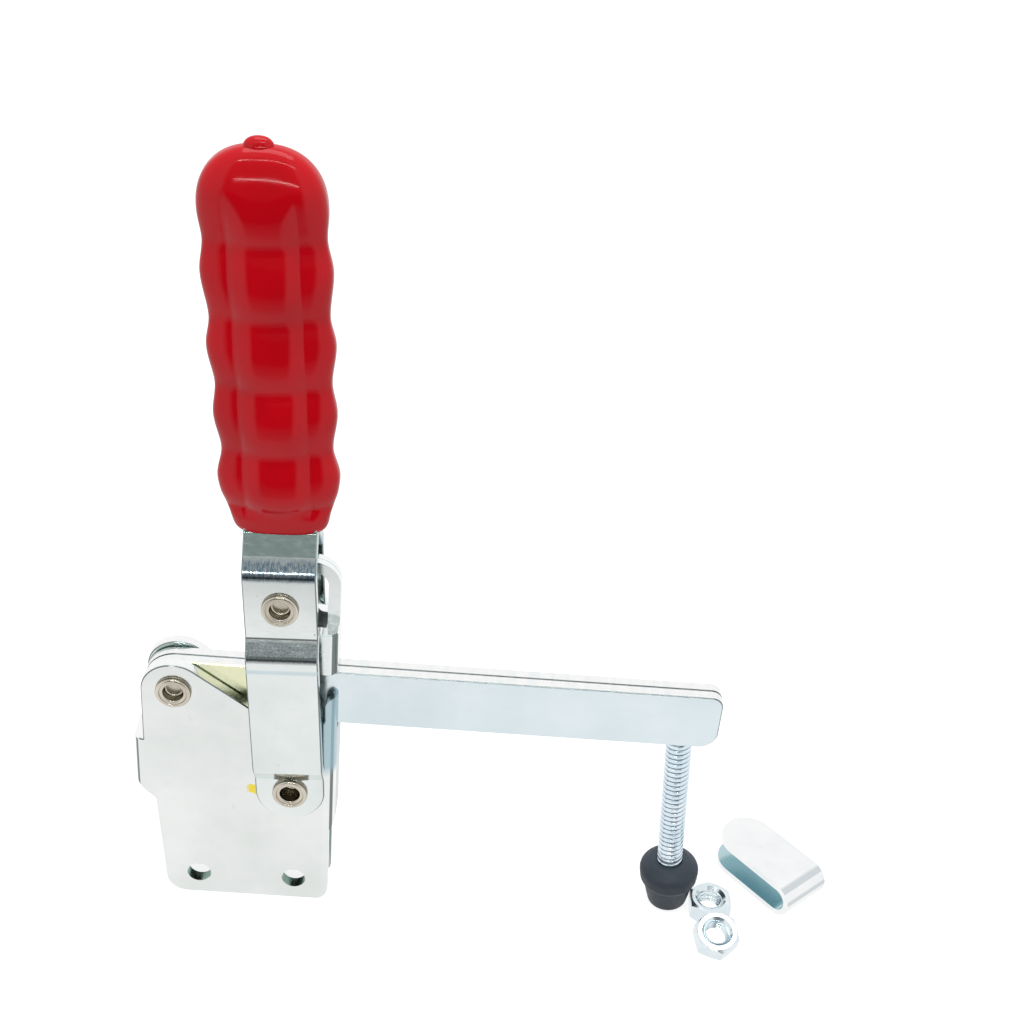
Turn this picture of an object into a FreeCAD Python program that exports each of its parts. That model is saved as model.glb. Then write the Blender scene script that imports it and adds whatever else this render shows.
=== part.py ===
"""Heavy vertical-handle toggle clamp with a solid arm, closed, with its loose spindle set.

The frame is X along the arm towards its tip, Y away from the near side plate and +Z up.
The origin is on the bottom edge of the base, under the rear pivot, midway between the side plates.
"""
import math
import os

import FreeCAD
import Part

Vector = FreeCAD.Vector

# Sheet, bar and clearances
arm_bar_thickness = 4.5
base_plate_thickness = 4.5
link_plate_thickness = 4.5
handle_plate_thickness = 4.5
arm_side_clearance = 0.25
handle_side_clearance = 0.2
rivet_clearance = 0.1
stop_clearance = 0.3
bend_inner_radius = 1.5
edge_ease = 0.4

# Pivots, closed
rear_pivot_height = 102.3
front_pivot_x = 43.4
front_pivot_drop = 41.7
handle_lean_deg = 2.6
upper_pivot_reach = 86.1
middle_pivot_reach = 39.9

# Rivets
rivet_shank_diameter = 10.0
rivet_head_diameter = 13.2
rivet_head_height = 1.7
rivet_bore_diameter = 7.4
rivet_bore_depth = 4.0
front_rivet_bore_depth = 8.0
rivet_rim_width = 1.4
rivet_rim_step = 0.5
spacer_wall = 2.2

# Base
rear_boss_radius = 12.0
shoulder_slope_deg = 36.7
base_front_x = 59.9
base_foot_front_x = 57.8
base_foot_rear_x = -5.0
base_waist_rear_x = -8.4
base_waist_height = 47.0
rear_tab_x = -16.0
rear_tab_bottom = 52.0
rear_tab_top = 78.0
front_web_bottom = 40.0
front_web_depth_under_arm = 2.0
front_horn_rise_beside_arm = 14.5
front_horn_round = 4.0
foot_rear_radius = 8.0
foot_front_radius = 5.0
bolt_hole_diameter = 9.3
bolt_hole_spacing = 37.2
bolt_hole_height = 10.4
first_bolt_hole_x = 7.2

# Arm
arm_height = 24.0
arm_drop = 1.8
arm_reach = 202.0
arm_tip_top_radius = 4.5
arm_tip_bottom_radius = 7.0

# Link
link_lower_lug_radius = 9.5
link_upper_lug_radius = 11.2
link_notch_clearance = 2.4
link_web_front_x = 59.6
link_web_drop_under_pivot = 13.6
link_flange_rise_over_arm = 1.9
finger_width = 5.4
finger_thickness = 4.4
finger_rise_over_pivot = 13.4
finger_curl_radius = 9.6
finger_tail = 6.0

# Handle
handle_width = 25.8
bulge_clearance = 2.4
bulge_ramp = 7.0
bulge_half_length = 25.2
upper_rivet_land = 14.0
tang_joggle_rise_over_pivot = 12.4
tang_joggle_length = 12.3
tang_top_margin = 8.5
grip_fit_clearance = 0.05

# Grip; rises are above its lip, depths are half the thickness from front to back
grip_rise_over_joggle = 1.0
grip_length = 138.9
grip_top_set_back = 1.0
grip_lobe_rises = [118.0, 97.2, 71.2, 46.0, 21.6]
grip_waist_rises = [108.4, 81.4, 57.0, 32.4]
grip_lobe_half_widths = [20.5, 21.2, 21.15, 20.7, 20.9]
grip_waist_half_widths = [19.7, 19.6, 19.4, 18.9]
grip_lip_rises = [0.0, 1.2, 3.0, 7.0, 11.5, 16.5]
grip_lip_half_widths = [14.2, 15.6, 16.5, 17.4, 18.8, 20.3]
grip_lip_depths = [5.3, 5.8, 6.2, 6.8, 8.2, 9.5]
grip_lobe_depth = 10.0
grip_waist_depth = 8.4
grip_side_step = 1.8
grip_step_depths = (6.8, 8.8)
grip_core_half_width = 14.2
grip_core_blend = 3.0
grip_crown_shares = [0.3, 0.55, 0.75, 0.88, 0.96, 0.99]
grip_nub_radius = 4.9
grip_nub_tip_radius = 3.0
grip_nub_height = 5.4
grip_nub_sink = 1.6

# Spindle set
thread_diameter = 10.0
spindle_set_back = 6.5
spindle_y = 3.0
spindle_lean_deg = 4.2
spindle_top_gap = 0.3
spindle_head_width = 17.0
spindle_head_height = 4.8
cap_height = 22.0
cap_mouth_radius = 6.4
cap_flange_radius = 12.0
cap_flange_height = 6.0
cap_flange_drop = 3.4
cap_shoulder_radius = 10.2
cap_foot_radius = 7.7
cap_foot_round = 1.6
cap_floor = 15.7
nut_width = 16.0
nut_height = 8.0
nut_chamfer = 1.65
flat_nut_offset = (16.6, -5.6)
flat_nut_turn_deg = 30.0
leaning_nut_offset = (17.3, -22.9)
leaning_nut_turn_deg = 42.0
leaning_nut_tilt_deg = 18.0
retainer_gap_clearance = 0.8
retainer_thickness = 2.4
retainer_width = 22.9
retainer_leaf = 37.1
retainer_fold_offset = (51.4, 4.2)
retainer_turn_deg = 41.0

# Values worked out from the ones above
arm_half = arm_bar_thickness
side_inner = arm_half + arm_side_clearance
side_outer = side_inner + base_plate_thickness
link_outer = side_inner + link_plate_thickness
handle_inner = max(side_outer, link_outer) + handle_side_clearance
handle_outer = handle_inner + handle_plate_thickness
bulge = link_outer + rivet_head_height + bulge_clearance - handle_inner
front_pivot_height = rear_pivot_height - front_pivot_drop
lean = math.radians(handle_lean_deg)
rivet_radius = rivet_shank_diameter / 2
rivet_hole_radius = rivet_radius + rivet_clearance


def along_handle(reach):
    """Point at this distance from the front pivot along the closed handle, as x and z."""
    return (front_pivot_x - reach * math.sin(lean), front_pivot_height + reach * math.cos(lean))


rear_pivot = (0.0, rear_pivot_height)
front_pivot = along_handle(0.0)
middle_pivot = along_handle(middle_pivot_reach)
upper_pivot = along_handle(upper_pivot_reach)
arm_middle = rear_pivot_height - arm_drop
arm_top = arm_middle + arm_height / 2
arm_bottom = arm_middle - arm_height / 2
front_horn_height = arm_bottom + front_horn_rise_beside_arm
link_web_top = upper_pivot[1] - link_web_drop_under_pivot
link_flange_bottom = arm_top + link_flange_rise_over_arm
finger_top = upper_pivot[1] + finger_rise_over_pivot
tang_joggle_start = upper_pivot_reach + tang_joggle_rise_over_pivot
grip_start = tang_joggle_start + tang_joggle_length + grip_rise_over_joggle
grip_end = grip_start + grip_length
spindle_x = arm_reach - spindle_set_back
cap_flange_low = cap_height - cap_flange_drop - cap_flange_height
cap_shoulder_height = cap_flange_low - 1.2
cap_taper = math.atan2(cap_shoulder_radius - cap_foot_radius, cap_shoulder_height)
cap_standing_radius = cap_foot_radius - cap_foot_round * math.tan(math.pi / 4 - cap_taper / 2)
spindle_lean = math.radians(spindle_lean_deg)
spindle_lift = cap_standing_radius * math.sin(spindle_lean) + cap_foot_round * (1 - math.cos(spindle_lean))


def rounded_wire(corners, place):
    """Closed wire through (a, b, radius) corners, with tangent arcs; place turns (a, b) into a Vector."""
    count = len(corners)
    starts = []
    ends = []
    middles = []
    for index, (a, b, radius) in enumerate(corners):
        here = Vector(a, b, 0)
        before = Vector(corners[index - 1][0], corners[index - 1][1], 0) - here
        after = Vector(corners[(index + 1) % count][0], corners[(index + 1) % count][1], 0) - here
        before.normalize()
        after.normalize()
        half_angle = before.getAngle(after) / 2
        if radius <= 0:
            starts.append(here)
            ends.append(here)
            middles.append(None)
            continue
        run = radius / math.tan(half_angle)
        bisector = before + after
        bisector.normalize()
        centre = here + bisector * (radius / math.sin(half_angle))
        starts.append(here + before * run)
        ends.append(here + after * run)
        middles.append(centre - bisector * radius)
    edges = []
    for index in range(count):
        if middles[index] is not None:
            arc = Part.Arc(*[place(p.x, p.y) for p in (starts[index], middles[index], ends[index])])
            edges.append(arc.toShape())
        following = starts[(index + 1) % count]
        if (following - ends[index]).Length > 1e-6:
            line = Part.LineSegment(place(ends[index].x, ends[index].y), place(following.x, following.y))
            edges.append(line.toShape())
    return Part.Wire(edges)


def side_plate(corners, y_from, y_to):
    """Flat plate with an outline in X and Z, between two depths."""
    wire = rounded_wire(corners, lambda a, b: Vector(a, y_from, b))
    return Part.Face(wire).extrude(Vector(0, y_to - y_from, 0))


def cross_cylinder(radius, pivot, y_from, y_to):
    """Cylinder along Y at a pivot given as x and z."""
    return Part.makeCylinder(radius, y_to - y_from, Vector(pivot[0], y_from, pivot[1]), Vector(0, 1, 0))


def block(x_from, x_to, y_from, y_to, z_from, z_to):
    return Part.makeBox(x_to - x_from, y_to - y_from, z_to - z_from, Vector(x_from, y_from, z_from))


def turned(corners, origin, axis, side):
    """Solid of revolution; corners are (distance along the axis, radius, corner radius)."""
    place = lambda a, b: origin + axis * a + side * b
    face = Part.Face(rounded_wire(corners, place))
    return face.revolve(origin, axis, 360)


def fillet_along(shape, radius, picks):
    """Round the straight edges that picks accepts."""
    edges = [edge for edge in shape.Edges if picks(edge)]
    return shape.makeFillet(radius, edges) if edges else shape


def eased(shape, picks):
    """Break the sharp outline edges that picks accepts; round holes keep theirs."""
    edges = [edge for edge in shape.Edges if not edge.isClosed() and picks(edge)]
    return shape.makeChamfer(edge_ease, edges)


def on_faces(edge, *depths):
    """True for an edge that lies flat in one of the faces at these depths."""
    box = edge.BoundBox
    return box.YLength < 0.01 and any(abs(box.YMin - depth) < 0.01 for depth in depths)


def mirrored(shape):
    return shape.mirror(Vector(0, 0, 0), Vector(0, 1, 0))


def tubular_rivet(pivot, half_span, bore_depth, y_from=None, y_to=None):
    """Rivet across both sides: rolled heads with a raised rim and open bores, closed in the middle."""
    head_radius = rivet_head_diameter / 2
    bore = rivet_bore_diameter / 2
    outer = half_span + rivet_head_height
    depth = outer - bore_depth
    rim = head_radius - rivet_rim_width
    ring = outer - rivet_rim_step
    near_half = [
        (-depth, 0, 0), (-depth, bore, 0.8), (-ring, bore, 0.6), (-ring, rim - 0.3, 0), (-outer, rim, 0.3),
        (-outer, head_radius, 0.9), (-half_span, head_radius, 0.3), (-half_span, rivet_radius, 0)]
    corners = near_half + [(-along, radius, round_off) for along, radius, round_off in near_half[::-1]]
    origin = Vector(pivot[0], 0, pivot[1])
    rivet = turned(corners, origin, Vector(0, 1, 0), Vector(0, 0, 1))
    if y_from is not None:
        reach = 2 * head_radius
        rivet = rivet.common(block(pivot[0] - reach, pivot[0] + reach, y_from, y_to,
                                   pivot[1] - reach, pivot[1] + reach))
    return rivet


def spacer(pivot):
    """Plain tube that keeps two side plates apart round a rivet."""
    tube = cross_cylinder(rivet_hole_radius + spacer_wall, pivot, -side_inner, side_inner)
    return tube.cut(cross_cylinder(rivet_hole_radius, pivot, -side_inner, side_inner))


def base_outline(folded):
    """Corners of a base side plate, from the foot round to the rear boss."""
    horn_round = 0 if folded else front_horn_round
    slope = math.radians(shoulder_slope_deg)
    tangent = (rear_boss_radius * math.sin(slope), rear_pivot_height + rear_boss_radius * math.cos(slope))
    horn_inner = base_front_x - base_plate_thickness
    shoulder_x = middle_pivot[0] - link_lower_lug_radius
    shoulder_z = tangent[1] - (shoulder_x - tangent[0]) * math.tan(slope)
    corners = [
        (base_foot_rear_x, 0, foot_rear_radius), (base_foot_front_x, 0, foot_front_radius),
        (base_foot_front_x, front_web_bottom - 3, 2), (base_front_x, front_web_bottom, 2),
        (base_front_x, front_horn_height, 0), (horn_inner, front_horn_height, horn_round),
        (horn_inner, shoulder_z - 3, 2), (shoulder_x, shoulder_z, 0), (tangent[0], tangent[1], 0),
        (-rear_boss_radius * 0.6, rear_pivot_height, 0), (-rear_boss_radius, rear_pivot_height, 0)]
    if folded:
        corners += [
            (-rear_boss_radius, rear_tab_top, 0.4), (rear_tab_x, rear_tab_top, 1.0),
            (rear_tab_x, rear_tab_bottom + 4, 6), (base_waist_rear_x, base_waist_height + 2, 3)]
    else:
        corners += [(-rear_boss_radius, rear_tab_bottom, 3), (base_waist_rear_x, base_waist_height, 3)]
    return corners


def base_side(y_from, y_to, folded):
    """One base side plate with its boss, its clearance round the link and its holes."""
    plate = side_plate(base_outline(folded), y_from, y_to)
    plate = plate.fuse(cross_cylinder(rear_boss_radius, rear_pivot, y_from, y_to))
    relief = cross_cylinder(link_lower_lug_radius + link_notch_clearance, middle_pivot, y_from, y_to)
    plate = plate.cut(relief)
    for index in range(2):
        centre = (first_bolt_hole_x + index * bolt_hole_spacing, bolt_hole_height)
        plate = plate.cut(cross_cylinder(bolt_hole_diameter / 2, centre, y_from, y_to))
    for pivot in (rear_pivot, front_pivot):
        plate = plate.cut(cross_cylinder(rivet_radius, pivot, y_from, y_to))
    return plate.removeSplitter()


def base_near_plate():
    """Near side plate with the front web and the rear tab folded over to the far plate."""
    plate = base_side(-side_outer, -side_inner, True)
    web_inner = base_front_x - base_plate_thickness
    web = block(web_inner, base_front_x, -side_outer, side_inner, front_web_bottom, front_horn_height)
    horn_corner = block(web_inner - 1, web_inner + front_horn_round, -side_outer - 1, side_inner + 1,
                        front_horn_height - front_horn_round, front_horn_height + 1)
    round_centre = (web_inner + front_horn_round, front_horn_height - front_horn_round)
    horn_corner = horn_corner.cut(cross_cylinder(front_horn_round, round_centre, -side_outer - 1, side_inner + 1))
    arm_path = block(base_front_x - 2 * base_plate_thickness, base_front_x + 1, -side_inner, side_inner + 1,
                     arm_bottom - front_web_depth_under_arm, arm_top)
    tab = block(rear_tab_x, rear_tab_x + base_plate_thickness, -side_outer, side_inner,
                rear_tab_bottom + 4, rear_tab_top)
    folded = plate.fuse([web.cut(arm_path), tab]).removeSplitter()
    folded = fillet_along(folded, base_plate_thickness + bend_inner_radius - 1, lambda edge: is_upright(
        edge, base_front_x, -side_outer, 40))
    folded = fillet_along(folded, base_plate_thickness, lambda edge: is_upright(
        edge, rear_tab_x, -side_outer, 12))
    folded = eased(folded, lambda edge: on_faces(edge, -side_outer, -side_inner)
                   and edge.BoundBox.ZMin > rear_tab_top)
    return folded.cut(horn_corner)


def is_upright(edge, x, y, least):
    """True for a vertical edge at this x and y that is at least this long."""
    box = edge.BoundBox
    flat = box.XLength < 0.01 and box.YLength < 0.01 and box.ZLength > least
    return flat and abs(box.XMin - x) < 0.01 and abs(box.YMin - y) < 0.01


def base_far_plate():
    return eased(base_side(side_inner, side_outer, False), lambda edge: on_faces(edge, side_inner, side_outer))


def arm_bar(y_from, y_to):
    """One of the two flat bars of the arm."""
    corners = [
        (0, arm_bottom, 0), (arm_reach, arm_bottom, arm_tip_bottom_radius),
        (arm_reach, arm_top, arm_tip_top_radius), (0, arm_top, 0)]
    bar = side_plate(corners, y_from, y_to)
    bar = bar.fuse(cross_cylinder(arm_height / 2, (0, arm_middle), y_from, y_to)).removeSplitter()
    bar = eased(bar, lambda edge: on_faces(edge, y_from, y_to))
    bar = bar.cut(cross_cylinder(rivet_radius, rear_pivot, y_from, y_to))
    return bar.cut(cross_cylinder(rivet_hole_radius, middle_pivot, y_from, y_to))


def link_flange(y_from, y_to):
    """Flange of the link: two lugs, a narrow waist behind and the block in front."""
    low, high = middle_pivot, upper_pivot
    web_inner = link_web_front_x - link_plate_thickness
    corners = [
        (low[0] - link_lower_lug_radius * 0.8, low[1] + 2, 0), (low[0] + link_lower_lug_radius * 0.9, low[1], 0),
        (low[0] + link_lower_lug_radius + 1, link_flange_bottom, 1.5),
        (link_web_front_x, link_flange_bottom, 1.0), (link_web_front_x, link_web_top, 0.8),
        (high[0] + link_upper_lug_radius, link_web_top, 3.0),
        (high[0] + link_upper_lug_radius, high[1], 0), (high[0] - link_upper_lug_radius, high[1], 0),
        (high[0] - link_lower_lug_radius * 0.8, (low[1] + high[1]) / 2, 12)]
    flange = side_plate(corners, y_from, y_to)
    flange = flange.fuse([cross_cylinder(link_lower_lug_radius, low, y_from, y_to),
                          cross_cylinder(link_upper_lug_radius, high, y_from, y_to)])
    for pivot in (low, high):
        flange = flange.cut(cross_cylinder(rivet_hole_radius, pivot, y_from, y_to))
    return flange.removeSplitter()


def link():
    """Folded link: two flanges, the web over the arm that is its stop, and the curled finger."""
    web_inner = link_web_front_x - link_plate_thickness
    web = block(web_inner, link_web_front_x, -link_outer, link_outer, link_flange_bottom, link_web_top)
    land = block(web_inner, link_web_front_x, -side_inner, side_inner, arm_top + stop_clearance,
                 link_flange_bottom + 1)
    half = finger_width / 2
    outer = link_web_front_x
    inner = outer - finger_thickness
    tail = outer - finger_curl_radius - finger_tail
    drop = finger_top - finger_thickness
    finger_corners = [
        (inner, link_web_top - 2, 0), (outer, link_web_top - 2, 0), (outer, finger_top, finger_curl_radius),
        (tail, finger_top, 1.0), (tail, drop, 1.0), (inner, drop, finger_curl_radius - finger_thickness)]
    finger = side_plate(finger_corners, -half, half)
    folded = link_flange(-link_outer, -side_inner).fuse([
        link_flange(side_inner, link_outer), web, land, finger]).removeSplitter()
    for y in (-link_outer, link_outer):
        folded = fillet_along(folded, bend_inner_radius + 2.0, lambda edge: is_upright(
            edge, link_web_front_x, y, 12))
    return eased(folded, lambda edge: on_faces(edge, -link_outer, link_outer))


def handle_profile():
    """Edge-on outline of the near handle plate as (depth, reach, radius) corners."""
    low = middle_pivot_reach - bulge_half_length
    high = upper_pivot_reach - upper_rivet_land - bulge_ramp
    foot = -handle_width / 2
    top = grip_end - tang_top_margin
    thick = handle_plate_thickness
    inner_radius = bend_inner_radius
    outer_radius = bend_inner_radius + thick
    path = [
        (handle_inner, foot), (handle_inner, low - bulge_ramp), (handle_inner + bulge, low),
        (handle_inner + bulge, high), (handle_inner, high + bulge_ramp), (handle_inner, tang_joggle_start),
        (0.0, tang_joggle_start + tang_joggle_length), (0.0, top)]
    inner_face = []
    outer_face = []
    last = len(path) - 1
    for index, (depth, reach) in enumerate(path):
        if index in (0, last):
            inner_face.append((-depth, reach, 0))
            outer_face.append((-depth - thick, reach, 0))
            continue
        into = math.atan2(depth - path[index - 1][0], reach - path[index - 1][1])
        out_of = math.atan2(path[index + 1][0] - depth, path[index + 1][1] - reach)
        shift = thick * math.tan((into + out_of) / 2)
        opens = out_of > into
        inner_face.append((-depth, reach, outer_radius if opens else inner_radius))
        outer_face.append((-depth - thick, reach - shift, inner_radius if opens else outer_radius))
    return inner_face + outer_face[::-1]


def handle_plate_blank():
    """Near handle plate in the handle's frame: lug, bulge over the middle rivet, flat and joggled tang."""
    half = handle_width / 2
    wire = rounded_wire(handle_profile(), lambda a, b: Vector(-half, a, b))
    strip = Part.Face(wire).extrude(Vector(handle_width, 0, 0))
    deep = handle_outer + bulge + 5
    top = grip_end - tang_top_margin
    front = side_plate([(-half, -half, half - 0.01), (half, -half, half - 0.01),
                        (half, top, 5), (-half, top, 5)], -deep, deep)
    return strip.common(front)


def is_on_outline(edge):
    """True for an edge of the handle plate's outline, not for a bend line or a corner across the sheet."""
    box = edge.BoundBox
    return box.ZLength > 0.01 or (box.XLength > 0.01 and box.YLength > 0.01)


def handle_plate():
    """Near handle plate with its two rivet holes, in its closed place."""
    plate = eased(handle_plate_blank(), is_on_outline)
    deep = handle_outer + bulge + 5
    for reach in (0.0, upper_pivot_reach):
        radius = rivet_hole_radius if reach == 0.0 else rivet_radius
        plate = plate.cut(cross_cylinder(radius, (0.0, reach), -deep, 0.0))
    return on_handle(plate)


def on_handle(shape):
    """Move a shape from the handle's own frame to its closed place."""
    moved = shape.copy()
    moved.rotate(Vector(0, 0, 0), Vector(0, -1, 0), handle_lean_deg)
    moved.translate(Vector(front_pivot_x, 0, front_pivot_height))
    return moved


def grip_section(reach, half_width, depth):
    """Closed smooth section of the grip: a raised core over the plates and thinner round sides."""
    offset = -grip_top_set_back * ((reach - grip_start) / grip_length) ** 2
    shallow, full = grip_step_depths
    side_depth = depth - grip_side_step * min(1.0, max(0.0, (depth - shallow) / (full - shallow)))
    points = []
    count = 24
    power = 0.72
    for index in range(count):
        angle = 2 * math.pi * (index + 0.5) / count
        c, s = math.cos(angle), math.sin(angle)
        across = half_width * abs(c) ** power
        share = min(1.0, max(0.0, (grip_core_half_width + grip_core_blend / 2 - across) / grip_core_blend))
        step = (depth - side_depth) * share * share * (3 - 2 * share)
        deep = side_depth * abs(s) ** power + step
        points.append(Vector(offset + math.copysign(across, c), math.copysign(deep, s), reach))
    curve = Part.BSplineCurve()
    curve.interpolate(points, PeriodicFlag=True)
    return Part.Wire([curve.toShape()])


def grip():
    """Dipped grip with five finger lobes, a rounded top and the drip nub."""
    stations = []
    for rise, half, depth in zip(grip_lip_rises, grip_lip_half_widths, grip_lip_depths):
        stations.append((grip_start + rise, half, depth))
    rings = []
    for rise, half in zip(grip_lobe_rises, grip_lobe_half_widths):
        rings.append((grip_start + rise, half, grip_lobe_depth))
    for rise, half in zip(grip_waist_rises, grip_waist_half_widths):
        rings.append((grip_start + rise, half, grip_waist_depth))
    rings.sort()
    for index, ring in enumerate(rings):
        stations.append(ring)
        if index + 1 < len(rings):
            following = rings[index + 1]
            stations.append(tuple((p + q) / 2 for p, q in zip(ring, following)))
    crown_base = grip_start + grip_lobe_rises[0]
    crown_height = grip_end - crown_base
    for share in grip_crown_shares:
        half = grip_lobe_half_widths[0] * (1 - share ** 2.3) ** 0.43
        depth = grip_lobe_depth * (1 - share ** 1.5) ** 0.39
        stations.append((crown_base + share * crown_height, half, depth))
    wires = [grip_section(*station) for station in stations]
    body = Part.makeLoft(wires, True, False)
    foot = Vector(-grip_top_set_back, 0, grip_end - grip_nub_sink)
    nub = Part.makeCone(grip_nub_radius, grip_nub_tip_radius, grip_nub_height, foot)
    nub = nub.makeFillet(1.6, [edge for edge in nub.Edges if edge.BoundBox.ZMin > grip_end + 1])
    body = body.fuse(nub)
    gap = grip_fit_clearance
    half = handle_width / 2 + gap
    depth = handle_plate_thickness + gap
    slot = block(-half, half, -depth, depth, grip_start - 1, grip_end - tang_top_margin + gap)
    joggle = handle_plate_blank()
    core = slot.fuse([joggle, mirrored(joggle)]).removeSplitter()
    return on_handle(body.cut(core))


def hexagon(width, height, x, y, z, turn_deg, chamfer):
    """Hexagonal prism with its corners chamfered top and bottom."""
    corner = width / math.sqrt(3)
    points = []
    for index in range(7):
        angle = math.radians(turn_deg + 60 * index)
        points.append(Vector(x + corner * math.cos(angle), y + corner * math.sin(angle), z))
    prism = Part.Face(Part.makePolygon(points)).extrude(Vector(0, 0, height))
    if chamfer <= 0:
        return prism
    reach = corner + 1
    corners = [(0, 0, 0), (0, corner - chamfer, 0), (chamfer * 0.6, corner, 0), (chamfer * 0.6, reach, 0),
               (height - chamfer * 0.6, reach, 0), (height - chamfer * 0.6, corner, 0),
               (height, corner - chamfer, 0), (height, 0, 0)]
    drum = turned(corners, Vector(x, y, z), Vector(0, 0, 1), Vector(1, 0, 0))
    return prism.common(drum)


def nut(x, y, turn_deg):
    """Hexagon nut lying flat, with a countersunk plain bore at the thread's size."""
    body = hexagon(nut_width, nut_height, x, y, 0, turn_deg, nut_chamfer)
    bore = thread_diameter / 2
    sink = 1.2
    corners = [(-1, 0, 0), (-1, bore + sink + 1, 0), (sink, bore, 0), (nut_height - sink, bore, 0),
               (nut_height + 1, bore + sink + 1, 0), (nut_height + 1, 0, 0)]
    return body.cut(turned(corners, Vector(x, y, 0), Vector(0, 0, 1), Vector(1, 0, 0)))


def flat_nut():
    """Nut lying flat beside the spindle."""
    return nut(spindle_x + flat_nut_offset[0], spindle_y + flat_nut_offset[1], flat_nut_turn_deg)


def leaning_nut():
    """Nut tilted towards the near side, its far edge against the flat nut."""
    leaning = nut(spindle_x + leaning_nut_offset[0], spindle_y + leaning_nut_offset[1], leaning_nut_turn_deg)
    leaning.rotate(Vector(0, spindle_y + leaning_nut_offset[1], 0), Vector(1, 0, 0), leaning_nut_tilt_deg)
    leaning.translate(Vector(0, 0, -leaning.optimalBoundingBox(False).ZMin))
    return leaning


def lean_spindle(shape):
    """Tilt the spindle or its cap about the spindle's foot and stand it on the floor."""
    shape.rotate(Vector(spindle_x, spindle_y, 0), Vector(0, -1, 0), spindle_lean_deg)
    shape.translate(Vector(0, 0, spindle_lift))
    return shape


def spindle():
    """Threaded spindle with its hexagon head, leaning in the cap under the arm."""
    radius = thread_diameter / 2
    headroom = arm_bottom - spindle_top_gap - spindle_lift
    top = (headroom - radius * math.sin(spindle_lean)) / math.cos(spindle_lean)
    head = hexagon(spindle_head_width, spindle_head_height, spindle_x, spindle_y, cap_floor, 0, 1.0)
    start = cap_floor + spindle_head_height - 1
    corners = [(start, 0, 0), (start, radius, 0), (top - 1.2, radius, 0), (top, radius - 1.2, 0), (top, 0, 0)]
    shank = turned(corners, Vector(spindle_x, spindle_y, 0), Vector(0, 0, 1), Vector(1, 0, 0))
    return lean_spindle(head.fuse(shank).removeSplitter())


def spindle_cap():
    """Moulded rubber cap round the spindle's head: sloped collar, shoulder and tapered foot."""
    radius = thread_diameter / 2
    corners = [
        (0, 0, 0), (0, cap_foot_radius, cap_foot_round), (cap_shoulder_height, cap_shoulder_radius, 0.8),
        (cap_flange_low, cap_flange_radius - 0.6, 0.8), (cap_height - cap_flange_drop, cap_flange_radius, 2.0),
        (cap_height, cap_mouth_radius + 1.0, 1.0), (cap_height, 0, 0)]
    body = turned(corners, Vector(spindle_x, spindle_y, 0), Vector(0, 0, 1), Vector(1, 0, 0))
    head = hexagon(spindle_head_width, spindle_head_height, spindle_x, spindle_y, cap_floor, 0, 0)
    hole = Part.makeCylinder(radius, cap_height, Vector(spindle_x, spindle_y, cap_floor + 1))
    return lean_spindle(body.cut(head).cut(hole))


def bolt_retainer():
    """Strap folded to a U with two round-ended leaves, lying on one leaf."""
    gap = 2 * arm_half + retainer_gap_clearance
    tall = gap + 2 * retainer_thickness
    outer = tall / 2
    half = retainer_width / 2
    side = Vector(-1, 0, 0)
    ring = Part.makeCylinder(outer, retainer_width, Vector(0, -half, outer), Vector(0, 1, 0))
    ring = ring.cut(Part.makeCylinder(gap / 2, retainer_width, Vector(0, -half, outer), Vector(0, 1, 0)))
    ring = ring.cut(block(0, outer + 1, -half - 1, half + 1, -1, tall + 1))
    parts = [ring]
    for z in (0.0, tall - retainer_thickness):
        leaf = block(0, retainer_leaf - half, -half, half, z, z + retainer_thickness)
        end = Part.makeCylinder(half, retainer_thickness, Vector(retainer_leaf - half, 0, z))
        parts += [leaf, end]
    strap = parts[0].fuse(parts[1:]).removeSplitter()
    strap.rotate(Vector(0, 0, 0), Vector(0, 0, 1), 90 + retainer_turn_deg)
    strap.translate(Vector(spindle_x + retainer_fold_offset[0], spindle_y + retainer_fold_offset[1], 0))
    return strap


def build():
    """All sub-parts by name."""
    near_handle = handle_plate()
    handle_span = handle_outer
    parts = {
        "base_near_plate": base_near_plate(),
        "base_far_plate": base_far_plate(),
        "front_rivet": tubular_rivet(front_pivot, handle_span, front_rivet_bore_depth),
        "front_spacer": spacer(front_pivot),
        "rear_rivet_near": tubular_rivet(rear_pivot, side_outer, rivet_bore_depth, -side_outer - 9, -side_inner),
        "rear_rivet_far": tubular_rivet(rear_pivot, side_outer, rivet_bore_depth, side_inner, side_outer + 9),
        "rear_rivet_core": tubular_rivet(rear_pivot, side_outer, rivet_bore_depth, -arm_half, arm_half),
        "arm_near_bar": arm_bar(-arm_half, 0.0),
        "arm_far_bar": arm_bar(0.0, arm_half),
        "link": link(),
        "link_spacer": spacer(upper_pivot),
        "middle_rivet": tubular_rivet(middle_pivot, link_outer, rivet_bore_depth),
        "upper_rivet": tubular_rivet(upper_pivot, handle_span, rivet_bore_depth),
        "handle_near_plate": near_handle,
        "handle_far_plate": mirrored(near_handle),
        "handle_grip": grip(),
        "spindle": spindle(),
        "spindle_cap": spindle_cap(),
        "bolt_retainer": bolt_retainer(),
        "spindle_nut_1": flat_nut(),
        "spindle_nut_2": leaning_nut(),
    }
    return parts


def main():
    os.makedirs("parts", exist_ok=True)
    for name, shape in build().items():
        if shape.ShapeType == "Compound" and len(shape.Solids) == 1:
            shape = shape.Solids[0]
        print(name, shape.ShapeType, len(shape.Solids), shape.isValid(), round(shape.Volume, 1))
        shape.exportStep("parts/%s.step" % name)


main()
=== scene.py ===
"""Looks for the toggle clamp: finishes, grip, threads, plain stage, lights and the photograph's camera."""
import math

import bpy
from mathutils import Matrix, Vector

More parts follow.
